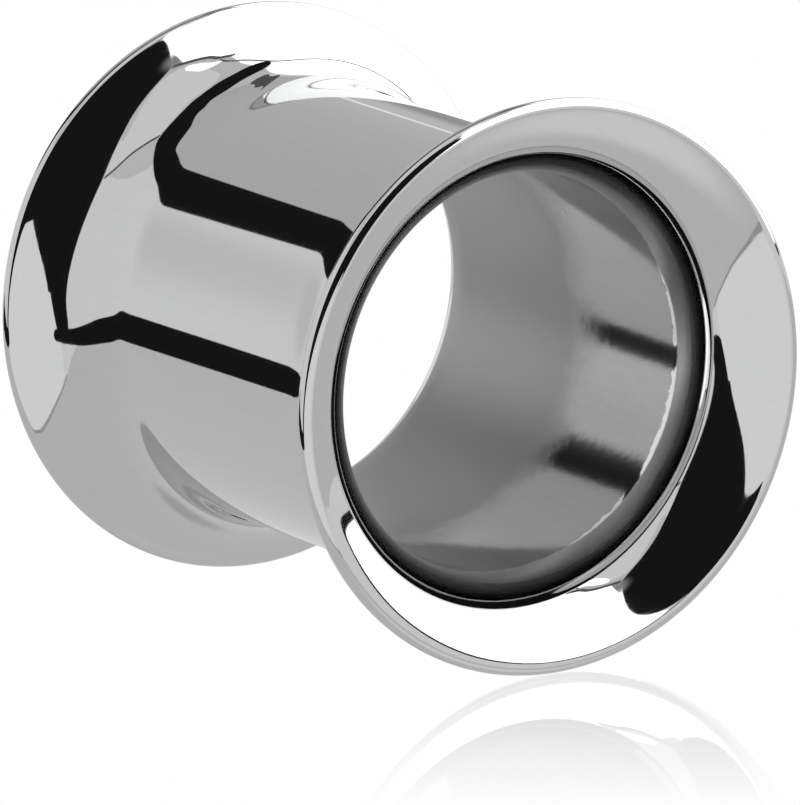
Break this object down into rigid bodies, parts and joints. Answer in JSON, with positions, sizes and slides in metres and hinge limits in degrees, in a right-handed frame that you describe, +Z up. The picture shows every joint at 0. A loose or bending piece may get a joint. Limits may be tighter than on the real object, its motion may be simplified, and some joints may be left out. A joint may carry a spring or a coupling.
{
  "type": "ear tunnel",
  "caption": "Double-flared ear tunnel: a straight thin-walled sleeve that opens into a rounded bell with a rolled rim at each end, open right through.",
  "frame": {"origin": "centre of the footprint, on the surface that the two rims rest on", "axes": "+Y along the tunnel's axis, -Y out of the flare that faces the viewer, +Z up"},
  "size_m": [0.0128, 0.0128, 0.0129],
  "materials": {
    "polished_steel": "mirror-polished stainless steel, finely drawn inside the bore"
  },
  "bodies": {
    "root": {"tunnel": "polished_steel"}
  },
  "joints": []
}
